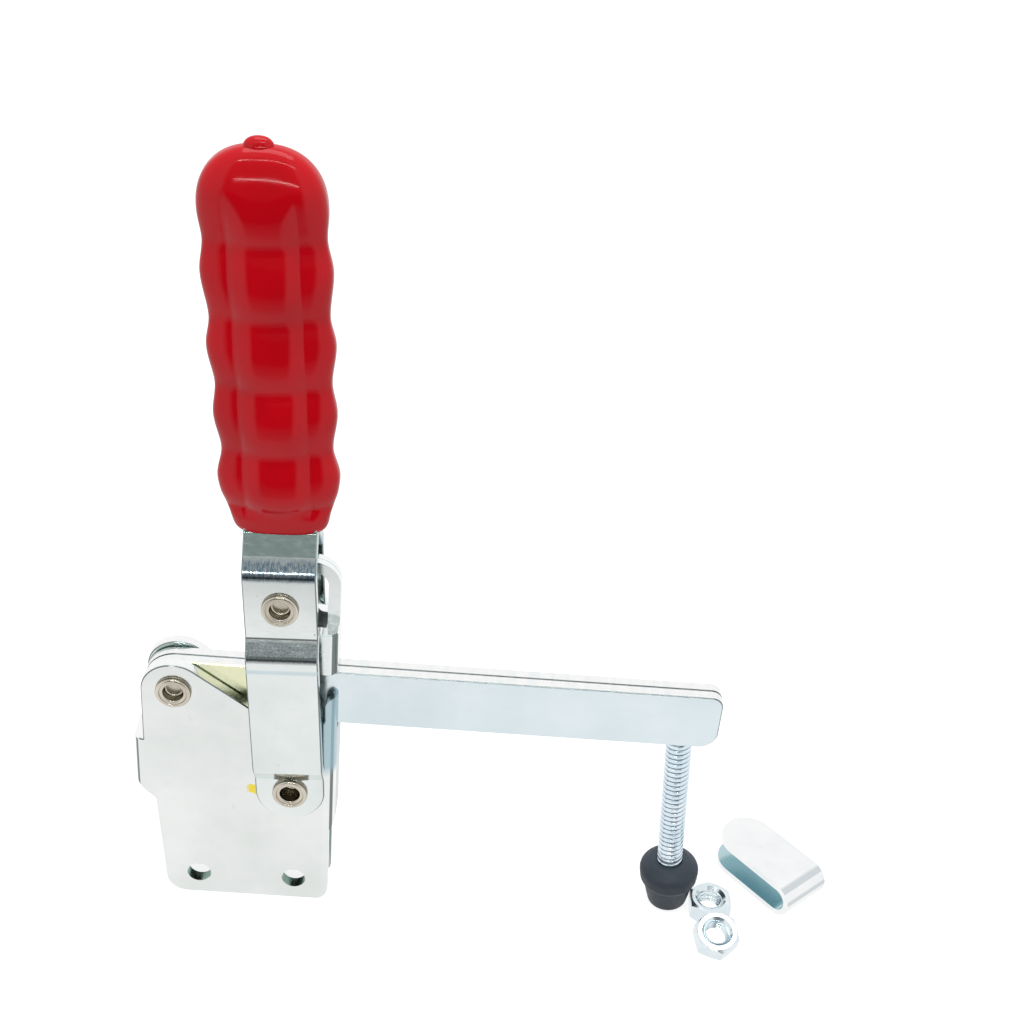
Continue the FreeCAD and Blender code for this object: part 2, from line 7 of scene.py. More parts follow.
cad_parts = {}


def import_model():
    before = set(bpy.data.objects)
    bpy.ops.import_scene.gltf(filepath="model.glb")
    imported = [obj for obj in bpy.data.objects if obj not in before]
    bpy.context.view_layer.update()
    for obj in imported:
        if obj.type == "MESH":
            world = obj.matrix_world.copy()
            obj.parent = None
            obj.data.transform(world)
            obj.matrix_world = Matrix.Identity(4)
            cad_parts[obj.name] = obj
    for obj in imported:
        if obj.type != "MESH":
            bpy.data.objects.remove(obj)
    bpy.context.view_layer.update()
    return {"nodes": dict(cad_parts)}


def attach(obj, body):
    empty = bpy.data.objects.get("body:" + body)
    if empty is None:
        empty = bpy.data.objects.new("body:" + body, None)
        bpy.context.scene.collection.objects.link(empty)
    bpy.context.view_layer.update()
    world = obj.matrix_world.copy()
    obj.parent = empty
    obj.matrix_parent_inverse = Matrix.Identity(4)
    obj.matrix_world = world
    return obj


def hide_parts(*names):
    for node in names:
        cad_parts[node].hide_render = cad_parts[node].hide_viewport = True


MM = 0.001

# Camera, fitted to the photograph
CAMERA_PLACE = (98.953, -476.319, 498.938)
CAMERA_YAW = 0.039
CAMERA_PITCH = 0.582
CAMERA_ROLL = 0.094
FOCAL_PIXELS = 1654.74
PICTURE_PIXELS = 1024
SENSOR = 36.0

# Handle, in its own frame: distance across, depth and reach from the front pivot
FRONT_PIVOT = (43.4, 60.6)
HANDLE_LEAN = math.radians(2.6)
TANG_BEND = 98.5
BULGE_TOP = 65.1
BULGE_RAMP = 7.0

# Grip; rises are above its lip
GRIP_START = 111.8
GRIP_LENGTH = 138.9
GRIP_SET_BACK = 1.0
GRIP_AROUND = 144
RING_STEP = 0.8
CROWN_RINGS = 40
SIDE_WIDTHS = [(0.0, 14.2), (1.2, 15.6), (3.0, 16.5), (7.0, 17.4), (11.5, 18.8), (16.5, 20.3), (21.6, 20.9),
               (32.4, 18.9), (46.0, 20.7), (57.0, 19.4), (71.2, 21.15), (81.4, 19.6), (97.2, 21.2),
               (108.4, 19.7), (118.0, 20.5)]
CROWN_START = SIDE_WIDTHS[-1][0]
CROWN_WIDTH_POWERS = (2.3, 0.43)
CROWN_DEPTH_POWERS = (1.5, 0.39)
CROWN_TIP_SHARE = 0.9999
HALVINGS = 24
FRONT_CRESTS = [18.5, 43.5, 67.5, 92.5, 118.0]
FRONT_CREASES = [9.0, 32.0, 56.5, 81.5, 107.5]
CREST_DEPTH = 9.9
CREASE_DEPTH = 7.7
FIRST_CREASE_DEPTH = 7.1
CREASE_ROLL = [-1.8, -0.9, 0.0, 0.9, 1.8]
LIP_DEPTH = 5.4
LIP_INSETS = [(0.9, 1.2), (0.1, 0.5)]
LIP_RISE = 0.4
CORE_HALF_WIDTH = 11.2
CORE_STEP = 2.5
CORE_BOW_POWER = 2.5
CORE_DEPTHS = (6.6, 7.8)
CORE_FADE = (114.0, 128.0)
CORE_EDGE_GAIN = 3
GROOVE_DEPTH = 0.12
GROOVE_WIDTH = 0.8
SECTION_POWER = 0.72
NUB_HEIGHT = 2.7
NUB_RADIUS = 4.968
NUB_SQUASH = 0.62
NUB_SINK = 0.35
NUB_SINK_POWER = 8
NUB_SWELL_POWERS = (2.4, 0.6)
NUB_AROUND = 64
NUB_RINGS = 26

# Spindle set; the cap's profile holds radius, height and rounding
SPINDLE_FOOT = (195.5, 3.0)
SPINDLE_LIFT = 0.474
SPINDLE_LEAN = math.radians(4.2)
SPINDLE_TOP = 87.5
HEAD_BASE = 15.7
HEAD_HEIGHT = 3.7
HEAD_WIDTH = 17.0
CAP_PROFILE = [(0.0, 0.0, 0.0), (7.7, 0.0, 1.6), (10.2, 11.4, 0.8), (11.4, 12.6, 0.8), (12.0, 18.6, 2.4),
               (7.4, 22.0, 1.4), (5.05, 22.0, 0.3), (5.05, 19.5, 0.0), (9.9, 19.5, 0.0), (9.9, 15.65, 0.0),
               (0.0, 15.65, 0.0)]
THREAD_RADIUS = 4.98
THREAD_DEPTH = 0.42
THREAD_PITCH = 2.3
THREAD_END_RADIUS = 3.9
THREAD_END_TAPER = 1.2
THREAD_FLANK = (0.08, 0.48)
THREAD_SINK = 0.5
THREAD_AROUND = 48
STEPS_PER_PITCH = 12
CAP_AROUND = 96
ROUNDING_STEPS = 8
NUT_PITCH = 2.0
NUT_THREAD_HEIGHTS = (0.9, 7.1)
NUT_THREAD_RADII = (4.35, 5.02)
FLAT_NUT = (212.1, -2.6, 0.0)
LEANING_NUT = (212.8, -19.9, 2.345)
NUT_TILT = math.radians(18.0)

# Bolt retainer: its fold's axis, the direction of its leaves, and its middle height and half gap
RETAINER_FOLD = (246.9, 7.2)
RETAINER_ALONG = (math.cos(math.radians(131.0)), math.sin(math.radians(131.0)))
RETAINER_MIDDLE = 7.3
RETAINER_HALF_GAP = 4.9

# Places of the marks on the plates, at rest: ranges of x, then of z
YELLOW_SPOT = ((26.8, 31.0), (55.2, 58.6))
# Place of the painted bluish shade on the bend, where it meets the arm
BEND_SHADE_PLACE = ((55.0, 64.0), (70.0, 104.0))
# Place of the painted green shade in the bolt bores
BOLT_BORES = ((2.0, 50.0), (5.4, 15.4))
BORE_REACH = 8.8
SPOT_FACE = -8.0
ARM_FACE = -4.0
ARM_PATCH = (9.0, 34.0)
# Half width of the painted shade in the arm's seam
ARM_SEAM = 0.40
REAR_TAB_EDGE = -8.0

# Linear colours of the marks; painted reflections at eased edges, the handle's crease and the retainer's
# fold bands, painted shade on inner sides, the base's bend and bores, the arm's seam, rivet walls, thread
# roots and inside the retainer's fold
EDGE_REFLECTION_DARK = (0.13, 0.16, 0.16)
INNER_SHADE = (0.36, 0.47, 0.44)
SPOT_YELLOW = (0.90, 0.72, 0.10)
PATCH_YELLOW = (0.88, 0.86, 0.46)
BEND_SHADE_BLUE = (0.30, 0.47, 0.54)
BORE_SHADE_GREEN = (0.34, 0.46, 0.40)
RUB_GREY = (0.62, 0.66, 0.64)
SEAM_SHADE = (0.07, 0.08, 0.08)
SCRATCH_BLUE = (0.20, 0.30, 0.40)
SPECKLE_GREY = (0.36, 0.42, 0.44)
CREASE_REFLECTION_BLUE = (0.50, 0.64, 0.70)
PIT_GREY = (0.30, 0.33, 0.33)
RIVET_WALL_SHADE = (0.10, 0.085, 0.055)
ROOT_SHADE = (0.07, 0.12, 0.16)
BAND_REFLECTION_GREY = (0.46, 0.52, 0.55)
STRAP_INNER_SHADE = (0.48, 0.64, 0.68)
WHITE = (1.0, 1.0, 1.0)
BLACK = (0.0, 0.0, 0.0)

# Dark zone in mirrors: ramps hold two places and their two values, sides two slopes and a softness
FLOOR_NEAR = (-260.0, -190.0, 0.57, 0.96)
FLOOR_FAR = (-560.0, -260.0, 0.10, 1.0)
FLOOR_LEAST_AHEAD = 50.0
FLOOR_SIDES = (-0.50, 0.42, 0.22)
SKY_AHEAD = (-0.35, -0.08, 1.0, 0.0)
SKY_LEAST_AHEAD = 0.05
SKY_SIDES = (-0.52, 0.45, 0.12)
GRIP_MIDDLE = 30.0
MIRROR_RAYS = ("Is Glossy Ray", "Is Transmission Ray")

# Studio, in metres; the front's greys are by the height of the direction looked in
FLOOR_SIZE = 8.0
FLOOR_DROP = 0.0002
FLOOR_GLOW = 0.80
FLOOR_GREY = (0.40, 0.40, 0.40)
SKY_LIGHT = (-0.2, 0.9, 0.30, 0.95)
FRONT_GREYS = [(-1.0, 0.60), (-0.40, 0.30), (-0.22, 0.20), (0.15, 0.20), (0.24, 0.32), (0.55, 0.36),
               (0.72, 0.44), (0.80, 0.60), (0.88, 1.0), (1.0, 1.0)]
CROWN_POINT = (0.03, 0.0, 0.30)
LAMPS = [
    ("low_strip", (0.05, -0.62, 0.443), CROWN_POINT, (0.50, 0.012), 0.42),
    ("high_strip", (0.10, -0.87, 1.26), CROWN_POINT, (1.2, 0.03), 2.6),
    ("top", (0.10, 0.15, 1.30), (0.10, 0.0, 0.12), (0.9, 0.6), 5.5)]


# Node helpers
def new_material(name):
    material = bpy.data.materials.new(name)
    material.use_nodes = True
    material.node_tree.nodes.clear()
    return material


def add(tree, kind, **inputs):
    """A node of this kind, with its input sockets set by name; underscores stand for spaces."""
    node = tree.nodes.new(kind)
    for name, value in inputs.items():
        node.inputs[name.replace("_", " ")].default_value = value
    return node


def link(tree, source, target):
    tree.links.new(source, target)


def value_of(tree, socket, value):
    """Set or join a plain number, a colour or a socket."""
    if isinstance(value, tuple):
        socket.default_value = value + (1.0,)
    elif isinstance(value, (int, float)):
        socket.default_value = value
    else:
        link(tree, value, socket)


def place_in(tree):
    """Texture coordinates in millimetres, in the frame at rest."""
    coordinates = tree.nodes.new("ShaderNodeTexCoord")
    scaled = tree.nodes.new("ShaderNodeVectorMath")
    scaled.operation = "SCALE"
    scaled.inputs["Scale"].default_value = 1 / MM
    link(tree, coordinates.outputs["Object"], scaled.inputs[0])
    return scaled.outputs[0], coordinates


def noise(tree, place, scale, detail=3.0, rough=0.5, stretch=None):
    """Noise value; scale is in cycles per millimetre."""
    if stretch is not None:
        mapping = add(tree, "ShaderNodeMapping", Scale=stretch)
        link(tree, place, mapping.inputs["Vector"])
        place = mapping.outputs["Vector"]
    node = add(tree, "ShaderNodeTexNoise", Scale=scale, Detail=detail, Roughness=rough)
    link(tree, place, node.inputs["Vector"])
    return node.outputs["Fac"]


def remap(tree, value, low, high, to_low, to_high):
    """Value carried from one range to another, held at its ends."""
    node = add(tree, "ShaderNodeMapRange", From_Min=low, From_Max=high, To_Min=to_low, To_Max=to_high)
    link(tree, value, node.inputs["Value"])
    return node.outputs["Result"]


def mix_colour(tree, factor, first, second):
    """Blend of two colours; each is a socket or a plain colour."""
    node = tree.nodes.new("ShaderNodeMix")
    node.data_type = "RGBA"
    link(tree, factor, node.inputs["Factor"])
    value_of(tree, node.inputs["A"], first)
    value_of(tree, node.inputs["B"], second)
    return node.outputs["Result"]


def bump(tree, height, distance, strength, normal=None):
    """Normal roughened by a height; distance is in millimetres."""
    node = add(tree, "ShaderNodeBump", Distance=distance * MM, Strength=strength)
    link(tree, height, node.inputs["Height"])
    if normal is not None:
        link(tree, normal, node.inputs["Normal"])
    return node.outputs["Normal"]


def surface(tree, colour, roughness, normal, metallic=0.0, **constants):
    """Principled shader joined to the output."""
    shader = add(tree, "ShaderNodeBsdfPrincipled", Metallic=metallic, **constants)
    output = add(tree, "ShaderNodeOutputMaterial")
    link(tree, colour, shader.inputs["Base Color"])
    link(tree, roughness, shader.inputs["Roughness"])
    link(tree, normal, shader.inputs["Normal"])
    link(tree, shader.outputs["BSDF"], output.inputs["Surface"])


def math_node(tree, operation, first, second=0.0):
    node = tree.nodes.new("ShaderNodeMath")
    node.operation = operation
    value_of(tree, node.inputs[0], first)
    value_of(tree, node.inputs[1], second)
    return node.outputs[0]


def times(tree, first, *others):
    """Product of masks and numbers."""
    for other in others:
        first = math_node(tree, "MULTIPLY", first, other)
    return first


def tint(tree, colour, mask, strength, shade):
    """Mix a shade into a colour where a mask says, up to a strength."""
    return mix_colour(tree, times(tree, mask, strength), colour, shade)


def within(tree, value, low, high, soft):
    """1 between two limits, falling to 0 over a soft edge outside them."""
    rise = remap(tree, value, low - soft, low, 0.0, 1.0)
    fall = remap(tree, value, high, high + soft, 1.0, 0.0)
    return times(tree, rise, fall)


def vector_node(tree, operation, vector, constant=None):
    """Vector operation of a socket with an optional constant."""
    node = tree.nodes.new("ShaderNodeVectorMath")
    node.operation = operation
    link(tree, vector, node.inputs[0])
    if constant is not None:
        node.inputs[1].default_value = constant
    return node


def split(tree, vector):
    node = tree.nodes.new("ShaderNodeSeparateXYZ")
    link(tree, vector, node.inputs[0])
    return node.outputs["X"], node.outputs["Y"], node.outputs["Z"]


def reach_on_handle(tree, x, z):
    """Distance up the handle from the front pivot, in millimetres."""
    across = times(tree, math_node(tree, "SUBTRACT", x, FRONT_PIVOT[0]), -math.sin(HANDLE_LEAN))
    up = times(tree, math_node(tree, "SUBTRACT", z, FRONT_PIVOT[1]), math.cos(HANDLE_LEAN))
    return math_node(tree, "ADD", across, up)


# Materials
def zinc_plate(name, face, shade, edge, roughness, inside, edges=(0.30, 0.90), marks=None):
    """Bright zinc plate: cloudy faces, paler sheared edges, painted dark reflections on eased corners and
    painted shade on the inner side.

    The inner side lies within a half gap; edges is the range of facing that counts as an eased corner."""
    material = new_material(name)
    tree = material.node_tree
    place, coordinates = place_in(tree)
    broad = remap(tree, noise(tree, place, 0.03, 3.0, 0.55), 0.38, 0.7, 0.0, 1.0)
    colour = mix_colour(tree, broad, face, shade)
    streaks = noise(tree, place, 0.5, 3.0, 0.6, (0.5, 1.0, 0.16))
    colour = mix_colour(tree, remap(tree, streaks, 0.56, 0.8, 0.0, 0.35), colour, shade)
    facing = math_node(tree, "ABSOLUTE", split(tree, coordinates.outputs["Normal"])[1])
    is_face = remap(tree, facing, 0.55, 0.8, 0.0, 1.0)
    lines = noise(tree, place, 0.8, 2.0, 0.5, (0.3, 0.05, 0.3))
    sheared = mix_colour(tree, remap(tree, lines, 0.4, 0.75, 0.0, 0.4), edge, shade)
    colour = mix_colour(tree, is_face, sheared, colour)
    # Painted dark reflection along the eased corners
    eased = within(tree, facing, edges[0], edges[1], 0.03)
    colour = tint(tree, colour, eased, 0.92, EDGE_REFLECTION_DARK)
    x, y = split(tree, place)[:2]
    ahead_of_tab = remap(tree, x, REAR_TAB_EDGE - 1.0, REAR_TAB_EDGE, 0.0, 1.0)
    inner = times(tree, within(tree, y, -inside, inside, 0.1), ahead_of_tab)
    colour = tint(tree, colour, inner, 0.8, INNER_SHADE)
    if marks is not None:
        colour = marks(tree, place, colour)
    brushed = noise(tree, place, 0.7, 3.0, 0.6, (0.4, 1.0, 1.4))
    rough = remap(tree, brushed, 0.3, 0.75, roughness - 0.04, roughness + 0.07)
    normal = bump(tree, noise(tree, place, 1.3, 3.0, 0.5), 0.012, 0.3)
    surface(tree, colour, rough, normal, metallic=1.0)
    return material


def base_marks(tree, place, colour):
    """Yellow spot beside the handle's lug, painted bluish shade on the bend, painted green shade in the bolt
    bores and grey rub marks.
    """
    x, y, z = split(tree, place)
    wobble = remap(tree, noise(tree, place, 0.5, 2.0), 0.3, 0.7, -0.8, 0.8)
    near = within(tree, math_node(tree, "ADD", x, wobble), *YELLOW_SPOT[0], 0.5)
    low = within(tree, math_node(tree, "ADD", z, wobble), *YELLOW_SPOT[1], 0.5)
    front = math_node(tree, "LESS_THAN", y, SPOT_FACE)
    colour = mix_colour(tree, times(tree, near, low, front), colour, SPOT_YELLOW)
    # Painted bluish shade on the bend where it meets the arm
    bend = times(tree, within(tree, x, *BEND_SHADE_PLACE[0], 1.2), within(tree, z, *BEND_SHADE_PLACE[1], 5.0))
    colour = tint(tree, colour, bend, 0.75, BEND_SHADE_BLUE)
    # Painted green shade inside the bolt bores
    bore = times(tree, within(tree, z, *BOLT_BORES[1], 0.2), within(tree, x, *BOLT_BORES[0], 0.2))
    bore = times(tree, bore, within(tree, y, -BORE_REACH, BORE_REACH, 0.1))
    colour = tint(tree, colour, bore, 0.8, BORE_SHADE_GREEN)
    rub = remap(tree, noise(tree, place, 0.16, 5.0, 0.7, (1.0, 1.0, 0.5)), 0.63, 0.72, 0.0, 0.3)
    return mix_colour(tree, rub, colour, RUB_GREY)


def arm_marks(tree, place, colour):
    """Painted shade in the seam between the two bars, and pale yellow passivation on the flank behind the
    handle.
    """
    x, y = split(tree, place)[:2]
    # Painted shade in the gap between the two bars
    colour = tint(tree, colour, within(tree, y, -ARM_SEAM, ARM_SEAM, 0.08), 0.95, SEAM_SHADE)
    wobble = remap(tree, noise(tree, place, 0.2, 3.0), 0.3, 0.7, -3.0, 3.0)
    along = within(tree, math_node(tree, "ADD", x, wobble), *ARM_PATCH, 5.0)
    flank = math_node(tree, "LESS_THAN", y, ARM_FACE)
    grain = remap(tree, noise(tree, place, 0.9, 4.0, 0.7), 0.35, 0.7, 0.5, 0.95)
    return mix_colour(tree, times(tree, along, flank, grain), colour, PATCH_YELLOW)


def handle_marks(tree, place, colour):
    """Scratches under the grip, speckles on the bulge's slope, a painted bluish reflection along the crease
    at its foot and small pits.
    """
    x, _, z = split(tree, place)
    reach = reach_on_handle(tree, x, z)
    scratch = noise(tree, place, 1.5, 4.0, 0.75, (1.0, 0.4, 0.35))
    fold = within(tree, reach, TANG_BEND + 0.5, TANG_BEND + 5.0, 2.0)
    worn = times(tree, fold, remap(tree, scratch, 0.4, 0.6, 0.25, 1.0))
    colour = mix_colour(tree, worn, colour, SCRATCH_BLUE)
    speckle = remap(tree, noise(tree, place, 1.9, 4.0, 0.75), 0.42, 0.62, 0.2, 1.0)
    slope = within(tree, reach, BULGE_TOP + 0.6, BULGE_TOP + BULGE_RAMP - 0.4, 0.6)
    colour = mix_colour(tree, times(tree, slope, speckle), colour, SPECKLE_GREY)
    # Painted bluish reflection along the crease at the bulge's foot
    line = within(tree, reach, BULGE_TOP - 4.6, BULGE_TOP - 3.8, 0.9)
    colour = tint(tree, colour, line, 0.6, CREASE_REFLECTION_BLUE)
    pits = remap(tree, noise(tree, place, 0.55, 2.0, 0.5), 0.74, 0.77, 0.0, 0.8)
    return mix_colour(tree, pits, colour, PIT_GREY)


def rivet_nickel():
    """Warm satin nickel of the rolled rivets, with painted shade on walls that run along the pin."""
    material = new_material("rivet_nickel")
    tree = material.node_tree
    place, coordinates = place_in(tree)
    cloud = noise(tree, place, 0.12, 3.0, 0.5)
    share = remap(tree, cloud, 0.35, 0.7, 0.0, 1.0)
    colour = mix_colour(tree, share, (0.70, 0.65, 0.55), (0.58, 0.53, 0.44))
    facing = math_node(tree, "ABSOLUTE", split(tree, coordinates.outputs["Normal"])[1])
    # Painted shade on the walls round the heads and in the bores
    colour = mix_colour(tree, remap(tree, facing, 0.25, 0.75, 0.85, 0.0), colour, RIVET_WALL_SHADE)
    rough = remap(tree, noise(tree, place, 0.3, 3.0), 0.3, 0.7, 0.20, 0.28)
    surface(tree, colour, rough, bump(tree, cloud, 0.004, 0.2), metallic=1.0)
    return material


def thread_shade(tree, place, normal, colour):
    """Painted shade in the roots between the thread's bright crests, by the distance from the leaning axis.
    """
    from_foot = vector_node(tree, "SUBTRACT", place, (SPINDLE_FOOT[0], SPINDLE_FOOT[1], SPINDLE_LIFT))
    axis = (-math.sin(SPINDLE_LEAN), 0.0, math.cos(SPINDLE_LEAN))
    across = vector_node(tree, "CROSS_PRODUCT", from_foot.outputs[0], axis)
    radius = vector_node(tree, "LENGTH", across.outputs[0]).outputs["Value"]
    root = THREAD_RADIUS - THREAD_DEPTH
    # Painted shade deepest at the thread's roots
    return mix_colour(tree, remap(tree, radius, root + 0.02, root + 0.22, 0.9, 0.0), colour, ROOT_SHADE)


def retainer_shade(tree, place, normal, colour):
    """Painted bluish shade inside the folded strap and painted grey reflections in soft bands round its
    fold.
    """
    x, y, z = split(tree, place)
    past_x = times(tree, math_node(tree, "SUBTRACT", x, RETAINER_FOLD[0]), -RETAINER_ALONG[0])
    past_y = times(tree, math_node(tree, "SUBTRACT", y, RETAINER_FOLD[1]), -RETAINER_ALONG[1])
    beyond = math_node(tree, "MAXIMUM", math_node(tree, "ADD", past_x, past_y), 0.0)
    height = math_node(tree, "SUBTRACT", z, RETAINER_MIDDLE)
    squares = math_node(tree, "ADD", times(tree, beyond, beyond), times(tree, height, height))
    distance = math_node(tree, "SQRT", squares)
    # Painted bluish shade on the inner side of the fold
    inner = remap(tree, distance, RETAINER_HALF_GAP + 0.05, RETAINER_HALF_GAP + 0.12, 1.0, 0.0)
    # Painted grey reflection bands, by how far the surface faces up
    up = split(tree, normal)[2]
    high_band = within(tree, up, 0.80, 0.93, 0.05)
    low_band = within(tree, up, 0.18, 0.34, 0.10)
    bands = math_node(tree, "MAXIMUM", high_band, low_band)
    colour = tint(tree, colour, bands, 0.6, BAND_REFLECTION_GREY)
    return mix_colour(tree, inner, colour, STRAP_INNER_SHADE)


def bright_steel(name, face, shade, roughness, shading=None):
    """Bright plated steel of the spindle, the nuts and the bolt retainer."""
    material = new_material(name)
    tree = material.node_tree
    place, coordinates = place_in(tree)
    cloud = remap(tree, noise(tree, place, 0.08, 3.0), 0.35, 0.7, 0.0, 1.0)
    colour = mix_colour(tree, cloud, face, shade)
    if shading is not None:
        colour = shading(tree, place, coordinates.outputs["Normal"], colour)
    rough = remap(tree, noise(tree, place, 0.9, 3.0), 0.3, 0.7, roughness - 0.04, roughness + 0.05)
    surface(tree, colour, rough, bump(tree, noise(tree, place, 1.2, 2.0), 0.01, 0.25), metallic=1.0)
    return material


def red_vinyl():
    """Glossy dipped vinyl: deep red with a faintly uneven skin."""
    material = new_material("red_vinyl")
    tree = material.node_tree
    place = place_in(tree)[0]
    cloud = remap(tree, noise(tree, place, 0.04, 3.0), 0.35, 0.65, 0.0, 1.0)
    colour = mix_colour(tree, cloud, (0.60, 0.0012, 0.008), (0.52, 0.0010, 0.007))
    rough = remap(tree, noise(tree, place, 0.2, 3.0), 0.3, 0.7, 0.07, 0.12)
    normal = bump(tree, noise(tree, place, 0.1, 2.0), 0.15, 0.2)
    normal = bump(tree, noise(tree, place, 0.9, 2.0), 0.01, 0.25, normal)
    surface(tree, colour, rough, normal, Specular_IOR_Level=0.24)
    return material


def black_rubber():
    """Matt moulded rubber, blue-black, faintly dusty."""
    material = new_material("black_rubber")
    tree = material.node_tree
    place = place_in(tree)[0]
    dust = remap(tree, noise(tree, place, 0.1, 4.0, 0.6), 0.4, 0.75, 0.0, 1.0)
    colour = mix_colour(tree, dust, (0.026, 0.037, 0.052), (0.038, 0.052, 0.070))
    rough = remap(tree, noise(tree, place, 0.5, 3.0), 0.3, 0.7, 0.46, 0.58)
    normal = bump(tree, noise(tree, place, 2.0, 2.0), 0.02, 0.3)
    surface(tree, colour, rough, normal, Specular_IOR_Level=0.4)
    return material


# Pieces
def mesh_object(name, vertices, faces, smooth=True):
    mesh = bpy.data.meshes.new(name)
    mesh.from_pydata(vertices, [], faces)
    mesh.update()
    if smooth:
        mesh.polygons.foreach_set("use_smooth", [True] * len(mesh.polygons))
    piece = bpy.data.objects.new(name, mesh)
    bpy.context.scene.collection.objects.link(piece)
    return piece


def ring_faces(rings, count, start=0):
    """Quads between successive rings of this many vertices."""
    faces = []
    for ring in range(rings - 1):
        for index in range(count):
            following = (index + 1) % count
            low = start + ring * count
            high = low + count
            faces.append((low + index, low + following, high + following, high + index))
    return faces


def circle(radius, height, count):
    """Points in metres, evenly round the vertical axis."""
    points = []
    for index in range(count):
        angle = 2 * math.pi * index / count
        points.append((radius * math.cos(angle) * MM, radius * math.sin(angle) * MM, height * MM))
    return points


def fan(first, count, centre, flipped=False):
    """Triangles from a ring of vertices to one in its middle."""
    pairs = [(first + index, first + (index + 1) % count) for index in range(count)]
    return [(end, start, centre) if flipped else (start, end, centre) for start, end in pairs]


def clamped(value, low, high):
    """Share of the way between two limits, from 0 to 1."""
    return min(1.0, max(0.0, (value - low) / (high - low)))


def through(stations, at):
    """Smooth value at a place between (place, value) stations, level at crests and hollows."""
    if at <= stations[0][0]:
        return stations[0][1]
    slopes = [(b[1] - a[1]) / (b[0] - a[0]) for a, b in zip(stations, stations[1:])]
    before = slopes[:1] + slopes[:-1]
    after = slopes[1:] + [0.0]
    for a, b, previous, here, following in zip(stations, stations[1:], before, slopes, after):
        if at <= b[0]:
            first, last = (2 * slope * here / (slope + here) if slope * here > 0 else 0.0
                           for slope in (previous, following))
            run = b[0] - a[0]
            t = (at - a[0]) / run
            return ((2 * t ** 3 - 3 * t ** 2 + 1) * a[1] + (t ** 3 - 2 * t ** 2 + t) * run * first
                    + (3 * t ** 2 - 2 * t ** 3) * b[1] + (t ** 3 - t ** 2) * run * last)
    return stations[-1][1]


def on_handle(x, y, reach):
    """Point from the handle's own frame to its closed place, in metres."""
    c, s = math.cos(HANDLE_LEAN), math.sin(HANDLE_LEAN)
    across = FRONT_PIVOT[0] + x * c - reach * s
    up = FRONT_PIVOT[1] + x * s + reach * c
    return across * MM, y * MM, up * MM


def front_depth(rise):
    """Half thickness of the grip: creases at the waists, each lobe swelling to a low, round crest."""
    if rise <= FRONT_CREASES[0]:
        return LIP_DEPTH + (FIRST_CREASE_DEPTH - LIP_DEPTH) * max(0.0, rise) / FRONT_CREASES[0]
    low = FIRST_CREASE_DEPTH
    for crease, crest, following in zip(FRONT_CREASES, FRONT_CRESTS, FRONT_CREASES[1:] + [GRIP_LENGTH]):
        if rise <= crest:
            turn = math.pi / 2 * (rise - crease) / (crest - crease)
            return low + (CREST_DEPTH - low) * math.sin(turn)
        low = CREASE_DEPTH
        if rise <= following < GRIP_LENGTH:
            turn = math.pi / 2 * (following - rise) / (following - crest)
            return low + (CREST_DEPTH - low) * math.sin(turn)
    return CREST_DEPTH


def soft_depth(rise):
    """Front depth averaged over a few millimetres, so that the creases are rolled."""
    return sum(front_depth(rise + step) for step in CREASE_ROLL) / len(CREASE_ROLL)


def grip_size(rise):
    """Half width, half thickness and sideways offset of the grip at a rise above its lip."""
    share = min(max(0.0, (rise - CROWN_START) / (GRIP_LENGTH - CROWN_START)), CROWN_TIP_SHARE)
    width = through(SIDE_WIDTHS, rise) * (1 - share ** CROWN_WIDTH_POWERS[0]) ** CROWN_WIDTH_POWERS[1]
    depth = soft_depth(rise) * (1 - share ** CROWN_DEPTH_POWERS[0]) ** CROWN_DEPTH_POWERS[1]
    return width, depth, -GRIP_SET_BACK * (rise / GRIP_LENGTH) ** 2


def grip_ring(rise, inset=0.0):
    """Section of the grip: a bowed core with a shallow groove each side of it, and thinner round sides."""
    width, depth, offset = grip_size(rise)
    width -= inset
    depth -= inset
    fade = clamped(rise, *CORE_FADE)
    share = clamped(depth, *CORE_DEPTHS) * (1 - fade * fade * (3 - 2 * fade))
    step = CORE_STEP * share
    points = []
    for index in range(GRIP_AROUND):
        angle = 2 * math.pi * index / GRIP_AROUND
        c, s = math.cos(angle), math.sin(angle)
        across = width * abs(c) ** SECTION_POWER
        bow = max(0.0, 1 - (across / CORE_HALF_WIDTH) ** CORE_BOW_POWER)
        groove = GROOVE_DEPTH * share * math.exp(-((across - CORE_HALF_WIDTH) / GROOVE_WIDTH) ** 2)
        flank = (depth - step) * abs(s) ** SECTION_POWER
        deep = flank + step * bow * min(1.0, abs(s) * CORE_EDGE_GAIN) - groove
        points.append((offset + math.copysign(across, c), math.copysign(max(deep, 0.0), s)))
    return points


def crown_rise(x, y):
    """Rise of the crown's surface over a point across the grip, found by halving."""
    low, high = CROWN_START, GRIP_LENGTH
    power = 2 / SECTION_POWER
    for _ in range(HALVINGS):
        middle = (low + high) / 2
        width, depth, offset = grip_size(middle)
        inside = (abs(x - offset) / width) ** power + (abs(y) / depth) ** power < 1
        low, high = (middle, high) if inside else (low, middle)
    return low


